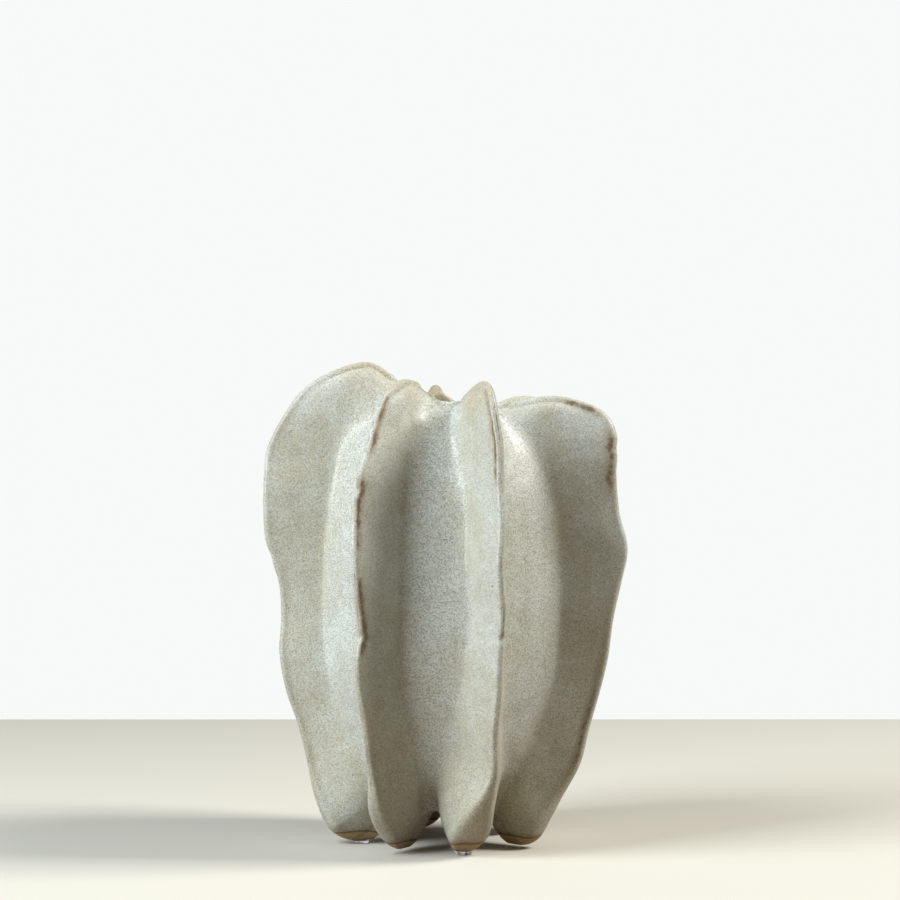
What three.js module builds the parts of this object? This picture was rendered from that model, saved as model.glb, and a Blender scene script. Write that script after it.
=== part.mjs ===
// Hand-built stoneware vase. Seven slabs of clay, each bent into a gutter, stand in a ring around a
// round floor. Neighbouring slabs are pressed together along their long edges, so each pair of edges
// makes one wavy fin. The fins run on below the floor as feet, and clear bumpers sit under four of them.
// Millimetres, +Z up, origin on the vase's axis at table height. Azimuth is counted in degrees from
// the front (-Y) towards +X.
import * as THREE from 'three';

// Main sizes: the tallest crest above the feet, the widest fin's reach from the axis, and the valleys'
// radius at the belly. The outlines below are stretched to these.
const VASE_HEIGHT = 213.8;
const FIN_REACH = 84.4;
const BELLY_RADIUS = 54;

// Slabs and the joints between them
const SLAB_THICKNESS = 5.2;
const FIN_THICKNESS = 6.4;
const EDGE_ROUNDING = 2.2;
const JOINT_GAP = 0.3;
const ROOT_RISE = 2;
const ROOT_SLOPE = 0.1;
const FACE_SWELL = 0.8;
const VALLEY_FLATNESS = 0.55;
// Low down the corner at a fin's root moves in by a share of the way to the valley. Between two shares of
// the way up that gives way to fins which widen towards their roots by the same amount on every side.
// Near the rim the corner opens, and the face runs straight.
const WEDGE = 0.5;
const WEDGE_FADE = [0.1, 0.5];
const ROOT_SPREAD = 3.4;
const STRAIGHT_ABOVE = 0.88;

// Feet. Their edges are rounded to a depth that is a share of half their thickness.
const FOOT_THICKNESS = 14;
const FOOT_ROUNDING = 0.68;
const FOOT_CHAMFER = 2.4;
const FOOT_CHAMFER_HEIGHT = 6;
const FOOT_HEIGHT = 40;
const FOOT_INNER_REACH = 33.5;
const ARCH_HEIGHT = 16.5;

// Floor slab, and the coil of clay that seals it to the wall
const FLOOR_THICKNESS = 6.5;
const FLOOR_LIFT = 1.5;
const FLOOR_CLEARANCE = 0.7;
const FLOOR_COIL = 6;

// Coils of clay pressed into the grooves that the slabs leave inside, behind each fin
const GROOVE_DEPTH = 3.6;
const GROOVE_WIDTH = 9;
const COIL_CLEARANCE = 0.4;
const COIL_ABOVE_FLOOR = 13;
const COIL_BELOW_RIM = 33;
const GROOVE_RUNOUT = 9;
// Share of a slab's width, from its middle, over which its inner face climbs to the joint
const RISE_REACH = 0.75;

// Clear bumpers
const BUMPER_DIAMETER = 8;
const BUMPER_HEIGHT = 1.4;
const BUMPER_ROUNDING = 0.5;
const BUMPER_REACH = 39;
const ADHESIVE_GAP = 0.1;

// How far each fin's edge reaches from the axis, at these heights above the feet. The crown continues
// the outline over the shoulder and the crest, and ends at the mouth at endHeight. Azimuths are those
// of the sole, the ankle, the waist and the crest. A foot's girth is its share of the usual thickness.
const SIDE_HEIGHTS = [0, 6, 20, 36, 52, 68, 84, 100, 116, 132, 148, 164, 180];
const FINS = [
  {
    azimuths: [-80, -80, -80, -80],
    girth: 1,
    reach: [46, 53.5, 59.6, 63, 67, 72.5, 75.3, 74.4, 75.6, 81, 82.3, 82, 78.8],
    crown: [[63, 203], [38, 213.8]],
    endHeight: 208,
    bumper: true,
  },
  {
    azimuths: [-30, -28.5, -28.5, -28.5],
    girth: 0.72,
    reach: [43, 51.5, 64, 68, 73.6, 78, 79.6, 78, 81.6, 83.8, 81.2, 78.6, 70],
    crown: [[58, 198.5], [41, 205.6]],
    endHeight: 205,
    bumper: false,
  },
  {
    azimuths: [11, 16.5, 17.2, 16.8],
    girth: 1.35,
    reach: [46, 52, 64, 70, 73.5, 77, 78.5, 79.5, 81, 81.5, 80.5, 78.5, 77],
    crown: [[71, 198], [57, 205]],
    endHeight: 199,
    bumper: true,
  },
  {
    azimuths: [57, 62, 70, 71],
    girth: 1.1,
    reach: [45, 49.3, 56.5, 64.9, 68.7, 72.9, 76.3, 78.7, 81.8, 84.4, 80.4, 79.3, 79.9],
    crown: [[72, 192.5], [52, 198.6]],
    endHeight: 196,
    bumper: false,
  },
  {
    azimuths: [130, 130, 129, 128],
    girth: 1,
    reach: [43, 50, 58, 65, 70, 73, 77, 79, 77, 78, 81, 80, 76],
    crown: [[66, 194], [46, 198.6]],
    endHeight: 195.5,
    bumper: true,
  },
  {
    azimuths: [198, 196, 191, 187],
    girth: 0.9,
    reach: [44, 52, 61, 66, 70, 74, 74, 76, 79, 78, 77, 78, 74],
    crown: [[62, 198], [42, 203.5]],
    endHeight: 202.5,
    bumper: false,
  },
  {
    azimuths: [242, 240, 236, 231],
    girth: 1,
    reach: [45, 52, 60, 66, 68, 72, 76, 78, 80, 79, 76, 77, 75],
    crown: [[64, 196], [44, 203]],
    endHeight: 200,
    bumper: true,
  },
];

// Radius of the valleys at even steps of height, from the arch between the feet up to the neck
const VALLEY_RADII = [32, 42.5, 49, 53, 54, 54, 52.5, 49.5, 43.5];
// One valley to each slab: the radius and the height of the rim there, and where the valley lies between
// its two fins, as a share of the way, at the foot and at the rim
const VALLEYS = [
  { rimRadius: 27, rimHeight: 198, share: [0.5, 0.5] },
  { rimRadius: 34, rimHeight: 196.6, share: [0.4, 0.72] },
  { rimRadius: 34, rimHeight: 192.5, share: [0.5, 0.5] },
  { rimRadius: 33, rimHeight: 191, share: [0.5, 0.47] },
  { rimRadius: 31, rimHeight: 192, share: [0.5, 0.5] },
  { rimRadius: 29, rimHeight: 193.5, share: [0.5, 0.54] },
  { rimRadius: 27, rimHeight: 197, share: [0.5, 0.5] },
];

// How finely the solids are faceted
const LEVELS = 30;
const HALF_STEPS = 5;
const INNER_STEPS = 6;
const ROUND_SEGMENTS = 32;
const BUMPER_SEGMENTS = 16;

const { lerp, smoothstep, clamp, degToRad } = THREE.MathUtils;
const stoneware = new THREE.MeshStandardMaterial({ color: 0xb9b7a9, roughness: 0.55, metalness: 0 });
const bareClay = new THREE.MeshStandardMaterial({ color: 0xb59a72, roughness: 0.85, metalness: 0 });
const clearRubber = new THREE.MeshStandardMaterial({ color: 0xe8ecec, roughness: 0.2, metalness: 0 });

const footLift = BUMPER_HEIGHT + ADHESIVE_GAP;
const floorBottom = ARCH_HEIGHT + FLOOR_LIFT;
const floorTop = floorBottom + FLOOR_THICKNESS;
const coilBottom = floorTop + COIL_ABOVE_FLOOR;

// The outlines at their real size
const widen = FIN_REACH / Math.max(...FINS.flatMap((fin) => fin.reach));
const heighten = VASE_HEIGHT / Math.max(...FINS.map((fin) => fin.crown.at(-1)[1]));
const swell = BELLY_RADIUS / Math.max(...VALLEY_RADII);
const fins = FINS.map((fin) => ({
  azimuths: fin.azimuths.map(degToRad),
  girth: fin.girth,
  outline: [...SIDE_HEIGHTS.map((height, i) => [fin.reach[i], height]), ...fin.crown]
    .map(([reach, height]) => new THREE.Vector2(reach * widen, height * heighten)),
  endHeight: fin.endHeight * heighten,
  bumper: fin.bumper,
}));
const valleys = VALLEYS.map((valley) => ({
  radii: [...VALLEY_RADII, valley.rimRadius].map((radius) => radius * swell),
  rimHeight: valley.rimHeight * heighten,
  share: valley.share,
}));
const coilTop = Math.min(...valleys.map((valley) => valley.rimHeight)) - COIL_BELOW_RIM;

// A point at a height above the feet
function polarPoint(radius, azimuth, height) {
  return new THREE.Vector3(radius * Math.sin(azimuth), -radius * Math.cos(azimuth), height + footLift);
}

// Shares from 0 to 1 in even steps
const steps = (count) => Array.from({ length: count + 1 }, (_, i) => i / count);

// Fins

const finAfter = (index) => (index + 1) % fins.length;
const valleyBefore = (index) => (index + valleys.length - 1) % valleys.length;

// Azimuth of a fin, on the parabola through its ankle, waist and crest, from which the foot turns aside
function finAzimuth(fin, height) {
  const [sole, ankle, waist, crest] = fin.azimuths;
  const t = clamp(height / VASE_HEIGHT, 0, 1);
  const bend = 4 * waist - 3 * ankle - crest;
  const turn = (sole - ankle) * (1 - smoothstep(height, 0, FOOT_HEIGHT));
  return ankle + turn + bend * t + (crest - ankle - bend) * t * t;
}

// A point at a height, at a reach from the axis along the fin, moved sideways off the fin's middle plane
function finPoint(fin, reach, height, sideways) {
  const azimuth = finAzimuth(fin, height);
  const across = new THREE.Vector3(Math.cos(azimuth), Math.sin(azimuth), 0);
  return polarPoint(reach, azimuth, height).addScaledVector(across, sideways);
}

// Outline of a fin's edge as (reach, height), from the foot up the side and over the crown to the mouth
function finOutline(index) {
  const { outline, endHeight } = fins[index];
  const mouthReach = meanRimRadius(index) - SLAB_THICKNESS / 2;
  return new THREE.SplineCurve([...outline, new THREE.Vector2(mouthReach, endHeight)]);
}

// Half of a fin's thickness: chamfered at the sole, thick in the foot, slim above
function halfThickness(fin, height) {
  const chamfer = FOOT_CHAMFER * (1 - smoothstep(height, 0, FOOT_CHAMFER_HEIGHT));
  const footShare = 1 - smoothstep(height, FOOT_CHAMFER_HEIGHT, FOOT_HEIGHT);
  return lerp(FIN_THICKNESS, FOOT_THICKNESS * fin.girth, footShare) / 2 - chamfer;
}

// Valleys

function valleyRadius(index, height) {
  const { radii, rimHeight } = valleys[index];
  const profile = new THREE.SplineCurve(radii.map((radius, i) => new THREE.Vector2(radius, i)));
  return profile.getPoint(clamp((height - ARCH_HEIGHT) / (rimHeight - ARCH_HEIGHT), 0, 1)).x;
}

const meanRimRadius = (fin) => (valleys[fin].radii.at(-1) + valleys[valleyBefore(fin)].radii.at(-1)) / 2;

// Radius of the chamber behind a fin. Below the arch it follows the inner end of the foot.
function chamberRadius(fin, height) {
  const above = Math.max(height, ARCH_HEIGHT);
  const outer = (valleyRadius(fin, above) + valleyRadius(valleyBefore(fin), above)) / 2;
  const inner = outer - SLAB_THICKNESS;
  return height < ARCH_HEIGHT ? lerp(FOOT_INNER_REACH, inner, height / ARCH_HEIGHT) : inner;
}

// Share of the groove's full depth at a height, running out above the floor and below the mouth
function grooveShare(height) {
  const rising = smoothstep(height, coilBottom - GROOVE_RUNOUT, coilBottom);
  return rising * (1 - smoothstep(height, coilTop, coilTop + GROOVE_RUNOUT));
}

// The bottom of the groove behind a fin at a level, on the fin's middle plane
function groove(index, level) {
  const height = level * (fins[index].endHeight - JOINT_GAP);
  return { height, bottom: chamberRadius(index, height) + GROOVE_DEPTH * grooveShare(height) };
}

// Wall slabs

// The edge of one fin and the way down its face to the valley, on the slab's side of the fin
function halfSection(finIndex, side, valley, level) {
  const fin = fins[finIndex];
  const outline = finOutline(finIndex);
  const edge = outline.getPoint(level);
  const tangent = outline.getTangent(level);
  const inwards = new THREE.Vector2(-tangent.y, tangent.x);
  const soleShare = 1 - clamp(level * (outline.points.length - 1), 0, 1);
  inwards.lerp(new THREE.Vector2(-1, 0), soleShare).normalize();
  const half = side * halfThickness(fin, edge.y);
  const rounding = Math.max(EDGE_ROUNDING, FOOT_ROUNDING * Math.abs(half));
  const onFace = edge.clone().addScaledVector(inwards, rounding);
  const onArris = edge.clone().addScaledVector(inwards, rounding / 4);

  const faceTop = finPoint(fin, onFace.x, onFace.y, half);
  const rootReach = Math.min(onFace.x, valley.radius + ROOT_RISE);
  const aboveFoot = smoothstep(level, ...WEDGE_FADE);
  const wedge = WEDGE * (1 - aboveFoot);
  const atRoot = half + side * ROOT_SPREAD * aboveFoot;
  const straight = smoothstep(level, STRAIGHT_ABOVE, 1);
  // The corner at the fin's root, at a share of the way up to the valley's height. Where the face runs
  // straight, it lies between a quarter and a half of the way along the face.
  const root = (share) => finPoint(fin, rootReach, lerp(onFace.y, valley.height, share), atRoot)
    .lerp(valley.point, wedge)
    .lerp(faceTop.clone().lerp(valley.point, lerp(0.25, 0.5, share)), straight);
  // Halfway in, the face has already swelled to nearly the thickness of the root. Where it runs straight,
  // that point lies an eighth of the way along it.
  const bulge = finPoint(fin, (onFace.x + rootReach) / 2, onFace.y, lerp(half, atRoot, FACE_SWELL))
    .lerp(valley.point, wedge / 2)
    .lerp(faceTop.clone().lerp(valley.point, 0.125), straight);
  const span = finPoint(fin, valley.radius, valley.height, atRoot).distanceTo(valley.point);
  const flatness = VALLEY_FLATNESS * (1 - wedge);
  const beside = valley.point.clone().addScaledVector(valley.across, -side * flatness * span);
  const handles = [faceTop, bulge, root(ROOT_SLOPE), root(1 - ROOT_SLOPE), beside, valley.point];
  return [
    finPoint(fin, edge.x, edge.y, side * JOINT_GAP / 2),
    finPoint(fin, onArris.x, onArris.y, half * 0.72),
    ...steps(HALF_STEPS).map((share) => bezierPoint(handles, share)),
  ];
}

// A point on the Bezier curve of any number of handles
function bezierPoint(handles, share) {
  if (handles.length === 1) return handles[0];
  return bezierPoint(handles.slice(1).map((next, i) => handles[i].clone().lerp(next, share)), share);
}

// A point on a slab's inner face, at a share of the way from the groove behind its first fin to the one
// behind its second fin
function chamberPoint(index, level, share) {
  const next = finAfter(index);
  const nearer = share < 0.5 ? index : next;
  const rise = smoothstep(Math.abs(share - 0.5), 0, RISE_REACH);
  const valleyHeight = lerp(ARCH_HEIGHT, valleys[index].rimHeight, level);
  const height = lerp(valleyHeight, groove(nearer, level).height, rise);
  const inner = valleyRadius(index, Math.max(height, ARCH_HEIGHT)) - SLAB_THICKNESS;
  const radius = lerp(inner, chamberRadius(nearer, height), rise);
  const margin = GROOVE_WIDTH / 2 / radius;
  const azimuth = lerp(
    finAzimuth(fins[index], height) + margin,
    finAzimuth(fins[next], height) + turnOver(index) - margin,
    share);
  return polarPoint(radius, azimuth, height);
}

// The chamber's wall from one fin's joint to the next one's, with half a groove at each end
function chamberSection(index, level) {
  const next = finAfter(index);
  const first = groove(index, level);
  const second = groove(next, level);
  return [
    finPoint(fins[index], first.bottom, first.height, JOINT_GAP / 2),
    ...steps(INNER_STEPS).map((share) => chamberPoint(index, level, share)),
    finPoint(fins[next], second.bottom, second.height, -JOINT_GAP / 2),
  ];
}

// A full turn for the slab that closes the ring, and none for the others
const turnOver = (index) => (finAfter(index) === 0 ? 2 * Math.PI : 0);

function wallSection(index, level) {
  const next = finAfter(index);
  const { rimHeight, share } = valleys[index];
  const height = lerp(ARCH_HEIGHT, rimHeight, level);
  const radius = valleyRadius(index, height);
  const azimuth = lerp(
    finAzimuth(fins[index], height),
    finAzimuth(fins[next], height) + turnOver(index),
    lerp(share[0], share[1], level * level));
  const across = new THREE.Vector3(Math.cos(azimuth), Math.sin(azimuth), 0);
  const valley = { radius, height, point: polarPoint(radius, azimuth, height), across };
  const first = halfSection(index, 1, valley, level);
  const second = halfSection(next, -1, valley, level);
  second.pop();
  return [...first, ...second.reverse(), ...chamberSection(index, level).reverse()];
}

// Solids

// Triangles between two lines of points that run side by side, always along the shorter diagonal
function stitch(left, right, points) {
  const triangles = [];
  let i = 0;
  let j = 0;
  while (i + 1 < left.length || j + 1 < right.length) {
    const alongLeft = i + 1 < left.length ? points[left[i + 1]].distanceTo(points[right[j]]) : Infinity;
    const alongRight = j + 1 < right.length ? points[left[i]].distanceTo(points[right[j + 1]]) : Infinity;
    if (alongLeft < alongRight) triangles.push([left[i], left[++i], right[j]]);
    else triangles.push([left[i], right[j + 1], right[j++]]);
  }
  return triangles;
}

// A closed solid through rings of points. Each ring is an outer line of outerCount points followed by
// an inner line back to the start, and the end rings are closed between those two lines.
function loft(rings, outerCount) {
  const size = rings[0].length;
  const points = rings.flat();
  const triangles = [];
  for (let start = 0; start + size < points.length; start += size) {
    for (let i = 0; i < size; i++) {
      const a = start + i;
      const b = start + (i + 1) % size;
      triangles.push(a, b, b + size, a, b + size, a + size);
    }
  }
  const ring = [...points.keys()].slice(0, size);
  const outer = ring.slice(0, outerCount);
  const inner = ring.slice(outerCount).reverse();
  const top = points.length - size;
  for (const [a, b, c] of stitch(outer, inner, points)) triangles.push(a, c, b);
  for (const [a, b, c] of stitch(outer, inner, rings.at(-1))) triangles.push(top + a, top + b, top + c);
  const geometry = new THREE.BufferGeometry().setFromPoints(points);
  geometry.setIndex(triangles);
  geometry.computeVertexNormals();
  return geometry;
}

function wallSlab(index) {
  const outerCount = 2 * (HALF_STEPS + 3) - 1;
  return loft(steps(LEVELS).map((level) => wallSection(index, level)), outerCount);
}

// The coil in the groove behind a fin, a little smaller than the groove
function seamCoil(index) {
  const fin = fins[index];
  const inGroove = steps(LEVELS).filter((level) => grooveShare(groove(index, level).height) === 1);
  return loft(inGroove.map((level) => {
    const { height, bottom } = groove(index, level);
    const right = chamberPoint(index, level, 0);
    const left = chamberPoint(valleyBefore(index), level, 1);
    const trim = COIL_CLEARANCE / right.distanceTo(left);
    return [
      finPoint(fin, bottom - 2 * COIL_CLEARANCE, height, 0),
      right.clone().lerp(left, trim),
      left.clone().lerp(right, trim),
    ];
  }), 1);
}

const lathe = (profile, segments) =>
  new THREE.LatheGeometry(profile, segments).rotateX(Math.PI / 2);

const chamberAt = (height) =>
  Math.min(...fins.map((_, i) => chamberRadius(i, height))) - FLOOR_CLEARANCE;

const floorSlab = () => lathe([
  new THREE.Vector2(0, floorBottom),
  new THREE.Vector2(chamberAt(floorBottom), floorBottom),
  new THREE.Vector2(chamberAt(floorTop), floorTop),
  new THREE.Vector2(0, floorTop),
], ROUND_SEGMENTS);

// A ring in the corner of the floor and the wall, with a hollow face
function floorCoil() {
  const foot = floorTop + COIL_CLEARANCE;
  const outer = chamberAt(foot);
  const head = new THREE.Vector2(chamberAt(foot + FLOOR_COIL), foot + FLOOR_COIL);
  const toe = new THREE.Vector2(outer - FLOOR_COIL, foot);
  const corner = new THREE.Vector2(outer, foot);
  const middle = head.clone().lerp(toe, 0.5).lerp(corner, 0.4);
  const hollow = new THREE.QuadraticBezierCurve(head, middle, toe);
  return lathe([...hollow.getPoints(4), corner, head], ROUND_SEGMENTS);
}

// A bumper with rounded lower edge, its flat sole on the table
const bumper = () => lathe([
  new THREE.Vector2(0, 0),
  new THREE.Vector2(BUMPER_DIAMETER / 2 - BUMPER_ROUNDING, 0),
  new THREE.Vector2(BUMPER_DIAMETER / 2, BUMPER_ROUNDING),
  new THREE.Vector2(BUMPER_DIAMETER / 2, BUMPER_HEIGHT),
  new THREE.Vector2(0, BUMPER_HEIGHT),
], BUMPER_SEGMENTS);

// Assembly

const vase = new THREE.Group();

function add(name, geometry, material) {
  const mesh = new THREE.Mesh(geometry, material);
  mesh.name = name;
  vase.add(mesh);
  return mesh;
}

fins.forEach((fin, i) => {
  add(`wall_slab_${i + 1}`, wallSlab(i), stoneware);
  add(`seam_coil_${i + 1}`, seamCoil(i), stoneware);
  if (fin.bumper) {
    const place = finPoint(fin, BUMPER_REACH, -footLift, 0);
    add(`bumper_${i + 1}`, bumper(), clearRubber).position.copy(place);
  }
});
add('floor_slab', floorSlab(), bareClay).position.setZ(footLift);
add('floor_coil', floorCoil(), stoneware).position.setZ(footLift);

export default vase;
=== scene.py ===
"""Looks for a hand-built stoneware vase: seven gutter-shaped slabs of clay joined in wavy fins.

Each slab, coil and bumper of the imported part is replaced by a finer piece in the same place. Sizes are
in metres. Azimuth is counted in degrees from the front (-Y) towards +X.
"""

import math

import bmesh
import bpy
import numpy as np
from mathutils import Matrix, Vector, noise


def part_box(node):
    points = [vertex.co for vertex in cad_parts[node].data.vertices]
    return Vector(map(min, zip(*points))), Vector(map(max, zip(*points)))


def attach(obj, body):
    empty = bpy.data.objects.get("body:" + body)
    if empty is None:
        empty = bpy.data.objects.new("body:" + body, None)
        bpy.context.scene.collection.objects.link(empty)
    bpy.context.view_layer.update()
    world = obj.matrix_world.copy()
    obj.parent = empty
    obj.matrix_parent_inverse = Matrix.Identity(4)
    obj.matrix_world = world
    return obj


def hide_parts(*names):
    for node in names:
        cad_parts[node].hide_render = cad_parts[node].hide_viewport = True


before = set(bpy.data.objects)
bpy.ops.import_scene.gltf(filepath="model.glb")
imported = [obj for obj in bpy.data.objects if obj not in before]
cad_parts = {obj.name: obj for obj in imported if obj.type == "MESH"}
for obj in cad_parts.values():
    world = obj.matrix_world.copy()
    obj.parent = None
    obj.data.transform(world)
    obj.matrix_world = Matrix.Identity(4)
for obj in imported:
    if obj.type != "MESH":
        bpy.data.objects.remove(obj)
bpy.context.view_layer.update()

bl_info = {
    "name": "Finned stoneware vase",
    "version": (1, 0, 0),
    "blender": (4, 5, 0),
    "location": "3D View > Sidebar > Vase",
    "description": "Builds a slab-built vase with wavy fins and a speckled satin glaze",
    "category": "Object",
}

# Points or heights that differ by less than TOUCHING count as one
MM = 0.001
TOUCHING = 1e-6
ADHESIVE_GAP = 0.1 * MM
FOOT_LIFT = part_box("bumper_1")[1][2] + ADHESIVE_GAP

# How far each fin's edge reaches from the axis, in millimetres, at these heights above the feet. The
# crown continues the outline over the shoulder and the crest, and ends at the mouth at end_height.
# Azimuths are those of the sole, the ankle, the waist and the crest. A foot's girth is its share of the
# usual thickness.
SIDE_HEIGHTS = (0, 6, 20, 36, 52, 68, 84, 100, 116, 132, 148, 164, 180)
FINS = (
    {
        "azimuths": (-80, -80, -80, -80),
        "girth": 1,
        "reach": (46, 53.5, 59.6, 63, 67, 72.5, 75.3, 74.4, 75.6, 81, 82.3, 82, 78.8),
        "crown": ((63, 203), (38, 213.8)),
        "end_height": 208,
    },
    {
        "azimuths": (-30, -28.5, -28.5, -28.5),
        "girth": 0.72,
        "reach": (43, 51.5, 64, 68, 73.6, 78, 79.6, 78, 81.6, 83.8, 81.2, 78.6, 70),
        "crown": ((58, 198.5), (41, 205.6)),
        "end_height": 205,
    },
    {
        "azimuths": (11, 16.5, 17.2, 16.8),
        "girth": 1.35,
        "reach": (46, 52, 64, 70, 73.5, 77, 78.5, 79.5, 81, 81.5, 80.5, 78.5, 77),
        "crown": ((71, 198), (57, 205)),
        "end_height": 199,
    },
    {
        "azimuths": (57, 62, 70, 71),
        "girth": 1.1,
        "reach": (45, 49.3, 56.5, 64.9, 68.7, 72.9, 76.3, 78.7, 81.8, 84.4, 80.4, 79.3, 79.9),
        "crown": ((72, 192.5), (52, 198.6)),
        "end_height": 196,
    },
    {
        "azimuths": (130, 130, 129, 128),
        "girth": 1,
        "reach": (43, 50, 58, 65, 70, 73, 77, 79, 77, 78, 81, 80, 76),
        "crown": ((66, 194), (46, 198.6)),
        "end_height": 195.5,
    },
    {
        "azimuths": (198, 196, 191, 187),
        "girth": 0.9,
        "reach": (44, 52, 61, 66, 70, 74, 74, 76, 79, 78, 77, 78, 74),
        "crown": ((62, 198), (42, 203.5)),
        "end_height": 202.5,
    },
    {
        "azimuths": (242, 240, 236, 231),
        "girth": 1,
        "reach": (45, 52, 60, 66, 68, 72, 76, 78, 80, 79, 76, 77, 75),
        "crown": ((64, 196), (44, 203)),
        "end_height": 200,
    },
)
CREST_HEIGHT = max(fin["crown"][-1][1] for fin in FINS)

# Radius of the valleys in millimetres, at even steps of height from the arch between the feet up to the
# neck, and the rim of each slab's valley: its radius, its height, and where the valley lies between the
# slab's two fins, as a share of the way, at the foot and at the rim
VALLEY_RADII = (32, 42.5, 49, 53, 54, 54, 52.5, 49.5, 43.5)
VALLEYS = (
    {"rim_radius": 27, "rim_height": 198, "share": (0.5, 0.5)},
    {"rim_radius": 34, "rim_height": 196.6, "share": (0.4, 0.72)},
    {"rim_radius": 34, "rim_height": 192.5, "share": (0.5, 0.5)},
    {"rim_radius": 33, "rim_height": 191, "share": (0.5, 0.47)},
    {"rim_radius": 31, "rim_height": 192, "share": (0.5, 0.5)},
    {"rim_radius": 29, "rim_height": 193.5, "share": (0.5, 0.54)},
    {"rim_radius": 27, "rim_height": 197, "share": (0.5, 0.5)},
)

# Where the glaze has broken to brown along an edge: the fin, the side of its edge (1 towards growing
# azimuth), the points of the fin's outline between which it shows, counted from the sole, how strongly,
# and how many millimetres in from the edge
BREAKS = (
    (1, 1, 11.6, 13.1, 0.95, 0.1),
    (1, 1, 9.0, 11.0, 0.9, 0.2),
    (1, 1, 6.2, 8.3, 1.0, 0.2),
    (2, -1, 10.8, 13.4, 0.75, 0.3),
    (2, 1, 11.0, 14.0, 0.75, 0.0),
    (3, -1, 10.5, 12.4, 0.8, 1.2),
    (3, -1, 13.0, 13.8, 0.95, 0.5),
    (3, -1, 2.6, 5.2, 0.55, 0.5),
    (4, -1, 8.2, 10.2, 0.8, 0.0),
    (5, 1, 10.2, 12.6, 0.9, 0.3),
    (5, -1, 5.2, 7.0, 0.8, 0.0),
    (6, 1, 10.8, 12.4, 0.9, 0.4),
    (6, -1, 7.6, 9.2, 0.8, 0.0),
)

# Crests that are nearly bare of glaze: how much clay shows, and out to how many millimetres from the tip
BARE_CRESTS = {0: (0.35, 22), 2: (0.5, 22), 5: (1.0, 40)}
SLIGHTLY_BARE = (0.15, 22)

# Small nicks pressed into the edges: the fin, the height, and the nick's depth and half length, all in
# millimetres
NICKS = (
    (1, 159, 1.3, 2.6),
    (1, 95.5, 1.5, 1.8),
    (2, 95.5, 1.1, 1.6),
    (3, 176, 0.9, 3.0),
    (0, 128, 0.8, 3.5),
    (4, 140, 1.0, 3.0),
    (5, 84, 1.2, 2.4),
    (6, 120, 1.0, 2.8),
)

# How finely a slab is divided: rows up its height, rows over its rounded ends, and columns round the edge
# of a fin and down the face from there to the valley. The arris of an edge lies at this column.
ROWS = 176
LIP_ROWS = 6
EDGE_COLUMNS = 9
FACE_COLUMNS = 30
ARRIS_COLUMN = 5

# Waves in which a fin sways: radians over its height, radians from fin to fin, and weight. The sway sets in
# between two shares of the height.
SWAYS = ((21, 2.3, 1.0), (37, 4.1, 0.6))
SWAY_BEGINS = (0.03, 0.2)

# Levels of a slab, from 0 at the foot to 1 at the rim, between which fins lose their wedge shape and nicks
# run out, and the level at which the lip sets in
WEDGE_FADE = (0.1, 0.5)
NICKS_END = (0.8, 0.9)
LIP_BEGINS = 0.95

# Handles of a face that runs straight, as shares of the way from the edge to the valley
STRAIGHT_BULGE = 0.125
STRAIGHT_ROOTS = (0.25, 0.5)

# Highest lip as a share of the rim's width, and the lengths in which it runs out towards a fin and a groove
# runs out past its ends
LIP_SHARE = 0.42
LIP_RUNOUT = 9 * MM
GROOVE_RUNOUT = 9 * MM

# Masks on a slab, in millimetres: how far round an edge the glaze lies thin and how it fades from there, how
# a break fades towards the edge and towards the face, and how far from a joint inside the wall is held true
THIN_REACH = 3.5
THIN_FADE = 2.0
BREAK_FADES = (0.8, 2.8)
HELD_AT_JOINT = 5.0

# Points of the outline over which a break runs out, the part of a face where glaze begins to pool, and the
# part of a bare crest where most clay shows
BREAK_RUNOUT = 0.3
POOL_BEGINS = 0.55
CREST_CORE = 0.3

# Stray of a hand-smoothed face: bends per metre and weight, slow and quick. It differs from slab to slab,
# and sets in between two heights above the feet.
SLOW_STRAY = (28, 0.75)
QUICK_STRAY = (75, 0.35)
STRAY_STEP = 7.3
STRAY_BEGINS = (2 * MM, 12 * MM)

# Seam coils: how finely they are divided, rows over a rounded end, their clearance in the groove, how much
# they narrow and how far they fill it, how far they stand out of it, and their stray with its bends per metre
# and its step from coil to coil
COIL_ROWS = 60
COIL_COLUMNS = 14
COIL_END_ROWS = 3
COIL_CLEARANCE = 0.4 * MM
COIL_SHARE = 0.62
COIL_STAND = 0.9 * MM
COIL_STRAY = 0.25 * MM
COIL_BENDS = 120
COIL_STEP = 3.1

# Floor: how much wider the chamber is at the top of the slab or the coil than at its foot, the slab's soft
# edge, and the sag of the coil's hollow face with the places on that face where the ring has corners
FLOOR_FLARE = 1.7 * MM
FLOOR_EDGE = 1.0 * MM
COIL_SAG = 0.21
HOLLOW_PLACES = np.linspace(0.1, 0.9, 7)
ROUND_STEPS = 96

BUMPER_EDGE = 0.7 * MM
BUMPER_STEPS = 48

# The table top, and how far behind the axis its far edge lies, in metres. The lights aim at the belly.
TABLE_WIDTH = 4.0
TABLE_DEPTH = 2.6
TABLE_FAR_EDGE = 0.503
LIGHTS_AIM = Vector((0, 0, 0.1))

# Patterns: waves per metre, detail, roughness, and the range of noise that is spread out to run from 0 to 1
CLOUD = (24, 3.0, 0.5, 0.32, 0.68)
STREAK = (110, 3.0, 0.55, 0.3, 0.7)
MOTTLE = (130, 4.0, 0.6, 0.3, 0.7)
PATCH = (70, 3.0, 0.5, 0.42, 0.7)
CLAY_CLOUD = (40, 3.0, 0.5, 0.3, 0.7)
STREAK_STRETCH = (1.0, 1.0, 0.18)

# Plain noise: waves per metre, detail and roughness
GRAIN = (2200, 2.0, 0.6)
RAGGED = (420, 4.0, 0.7)
UNEVEN = (150, 2.0, 0.5)
DRIFT = (55, 2.0, 0.5)
HAZE = (900, 2.0, 0.5)

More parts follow.
